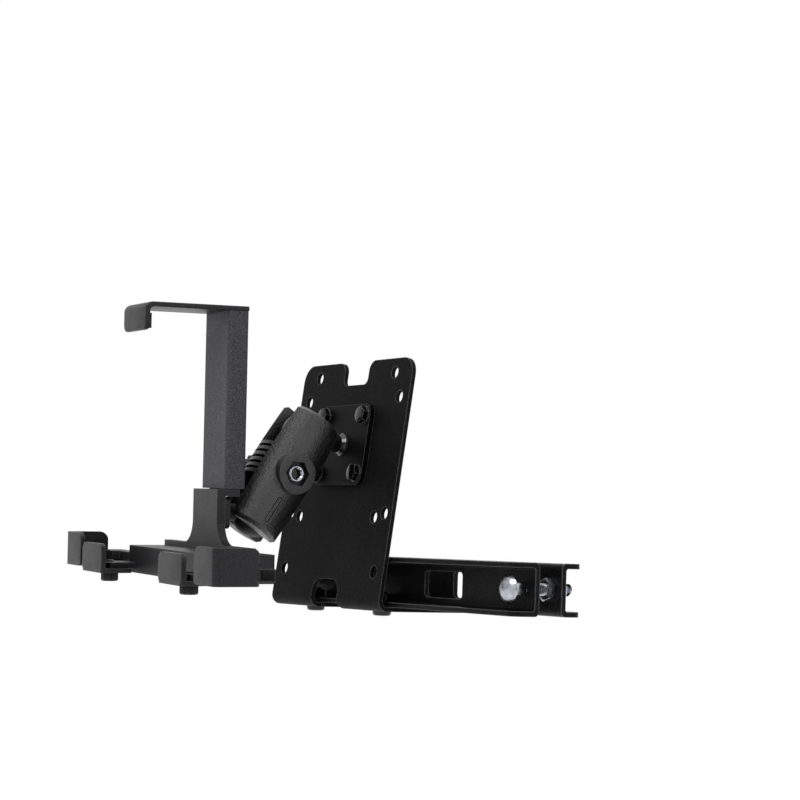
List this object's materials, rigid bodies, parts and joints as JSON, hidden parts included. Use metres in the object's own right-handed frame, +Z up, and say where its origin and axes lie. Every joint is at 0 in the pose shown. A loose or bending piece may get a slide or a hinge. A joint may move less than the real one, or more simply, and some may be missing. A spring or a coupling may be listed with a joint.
{
  "type": "headrest tablet mount",
  "caption": "Clamp bars for two headrest posts with a bent plate, a double socket arm and an adjustable tablet holder.",
  "frame": {"origin": "midway between the two headrest posts, at mid height of the clamp bars, in the middle of the gap", "axes": "+X along the clamp bars towards the end seen nearest in the picture, +Y towards the headrest, +Z up along the posts"},
  "size_m": [0.2732, 0.1773, 0.1538],
  "materials": {
    "coated_sheet": "satin black powder coat with a fine grain",
    "bar_paint": "glossy black paint with a slight orange peel",
    "zinc": "bright zinc plate",
    "black_oxide": "glossy black oxide",
    "arm_grain": "black composite with a fine texture",
    "ball_rubber": "black rubber, slightly worn to a sheen",
    "holder_plastic": "dark grey moulded plastic, fine matte",
    "column_grain": "dark grey plastic with a speckled grain",
    "pad_rubber": "soft black rubber",
    "knob_plastic": "black moulded plastic"
  },
  "bodies": {
    "bracket": {"front_clamp_bar": "bar_paint", "near_clamp_bolt": "zinc", "far_clamp_bolt": "zinc", "mounting_plate": "coated_sheet", "shelf_screws": "black_oxide", "shelf_nuts": "black_oxide", "upper_ball_plate": "arm_grain", "upper_plate_bolts": "black_oxide", "upper_plate_nuts": "black_oxide"},
    "rear_bar": {"rear_clamp_bar": "bar_paint", "inner_nuts": "zinc"},
    "near_nut": {"near_clamp_nut": "zinc"},
    "far_nut": {"far_clamp_nut": "zinc"},
    "upper_ball": {"upper_ball": "ball_rubber"},
    "arm": {"arm_near_half": "arm_grain", "arm_far_half": "arm_grain", "arm_spring": "zinc", "arm_screw": "zinc"},
    "knob": {"tightening_knob": "knob_plastic"},
    "lower_ball": {"lower_ball": "ball_rubber"},
    "holder": {"lower_ball_plate": "arm_grain", "lower_plate_screws": "black_oxide", "base_housing": "holder_plastic", "inner_mast": "holder_plastic"},
    "sleeve": {"sliding_sleeve": "column_grain", "top_hook": "holder_plastic", "hook_pad": "pad_rubber"},
    "left_arm": {"left_corner_arm": "holder_plastic", "left_corner_pad": "pad_rubber"},
    "right_arm": {"right_corner_arm": "holder_plastic", "right_corner_pad": "pad_rubber"},
    "left_foot": {"left_foot": "holder_plastic", "left_foot_pad": "pad_rubber"},
    "right_foot": {"right_foot": "holder_plastic", "right_foot_pad": "pad_rubber"},
    "left_screw": {"left_foot_screw": "knob_plastic"},
    "right_screw": {"right_foot_screw": "knob_plastic"}
  },
  "joints": [
    {"name": "rear_bar_slide", "type": "slide", "parent": "bracket", "child": "rear_bar", "axis": [0, 1, 0], "range_m": [-0.0027, 0.0033]},
    {"name": "near_nut_turn", "type": "hinge", "parent": "rear_bar", "child": "near_nut", "pos_m": [0.097, 0.011, 0], "axis": [0, 1, 0], "continuous": true},
    {"name": "far_nut_turn", "type": "hinge", "parent": "rear_bar", "child": "far_nut", "pos_m": [-0.097, 0.011, 0], "axis": [0, 1, 0], "continuous": true},
    {"name": "upper_ball_spin", "type": "hinge", "parent": "bracket", "child": "upper_ball", "pos_m": [-0.053, -0.04323, 0.07306], "axis": [0, -0.9912, 0.1323], "range_deg": [-30, 30]},
    {"name": "arm_tilt", "type": "hinge", "parent": "upper_ball", "child": "arm", "pos_m": [-0.053, -0.04323, 0.07306], "axis": [1, 0, 0], "range_deg": [-50, 8]},
    {"name": "knob_turn", "type": "hinge", "parent": "arm", "child": "knob", "pos_m": [-0.076, -0.0563, 0.05293], "axis": [1, 0, 0], "continuous": true},
    {"name": "holder_tilt", "type": "hinge", "parent": "arm", "child": "lower_ball", "pos_m": [-0.053, -0.06937, 0.0328], "axis": [1, 0, 0], "range_deg": [-1, 35]},
    {"name": "holder_spin", "type": "hinge", "parent": "lower_ball", "child": "holder", "pos_m": [-0.053, -0.06937, 0.0328], "axis": [0.1225, 0.9921, 0.0262], "range_deg": [-30, 30]},
    {"name": "sleeve_slide", "type": "slide", "parent": "holder", "child": "sleeve", "axis": [0.0228, -0.0292, 0.9993], "range_m": [0, 0.04]},
    {"name": "left_arm_slide", "type": "slide", "parent": "holder", "child": "left_arm", "axis": [-0.9922, 0.1218, 0.0262], "range_m": [0, 0.0245]},
    {"name": "right_arm_slide", "type": "slide", "parent": "holder", "child": "right_arm", "axis": [0.9922, -0.1218, -0.0262], "range_m": [-0.016, 0.011]},
    {"name": "left_foot_slide", "type": "slide", "parent": "holder", "child": "left_foot", "axis": [0.1225, 0.9921, 0.0262], "range_m": [-0.0035, 0.0025]},
    {"name": "right_foot_slide", "type": "slide", "parent": "holder", "child": "right_foot", "axis": [0.1225, 0.9921, 0.0262], "range_m": [-0.0035, 0.0025]},
    {"name": "left_screw_turn", "type": "hinge", "parent": "holder", "child": "left_screw", "pos_m": [-0.12031, -0.11759, -0.0021], "axis": [0.0228, -0.0292, 0.9993], "continuous": true},
    {"name": "right_screw_turn", "type": "hinge", "parent": "holder", "child": "right_screw", "pos_m": [-0.00125, -0.13221, -0.00524], "axis": [0.0228, -0.0292, 0.9993], "continuous": true}
  ]
}
